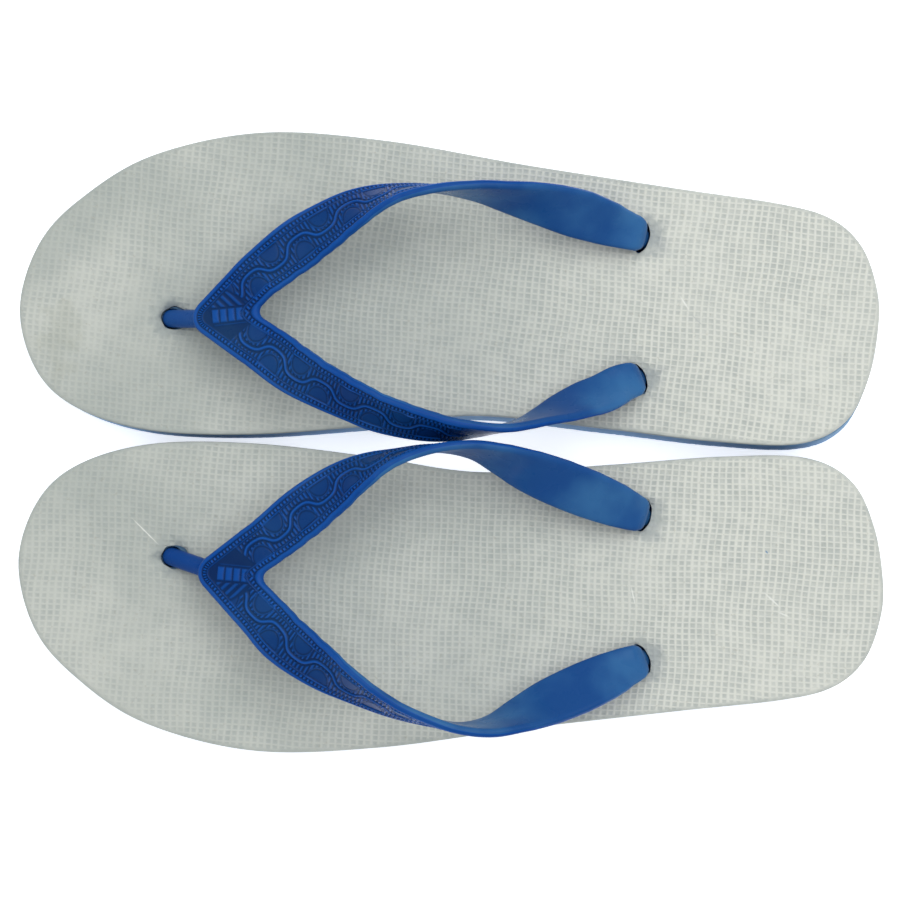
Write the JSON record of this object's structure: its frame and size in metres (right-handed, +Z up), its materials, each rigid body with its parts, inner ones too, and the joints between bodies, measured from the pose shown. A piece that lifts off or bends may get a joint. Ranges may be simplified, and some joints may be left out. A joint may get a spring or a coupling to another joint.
{
  "type": "flip flop",
  "caption": "Pair of thong sandals: textured white footbeds on blue outsoles, with moulded Y-shaped toe-post straps.",
  "frame": {"origin": "middle of the pair's footprint, on the floor", "axes": "+X along the soles from toe to heel, +Y from the left flip flop towards the right one, +Z up"},
  "size_m": [0.2784, 0.2008, 0.0484],
  "materials": {
    "footbed_white_rubber": "matt greyish white foam rubber with a raised grid, slightly soiled",
    "outsole_blue_rubber": "matt light blue foam rubber",
    "strap_blue_rubber": "glossy deep blue moulded rubber, relief on the front, smooth at the back"
  },
  "bodies": {
    "left_flip_flop": {"left_footbed": "footbed_white_rubber", "left_outsole": "outsole_blue_rubber", "left_strap": "strap_blue_rubber"},
    "right_flip_flop": {"right_footbed": "footbed_white_rubber", "right_outsole": "outsole_blue_rubber", "right_strap": "strap_blue_rubber"}
  },
  "joints": [
    {"name": "right_slide", "type": "slide", "parent": "left_flip_flop", "child": "right_flip_flop", "axis": [0, 1, 0], "range_m": [0, 0.15]}
  ]
}
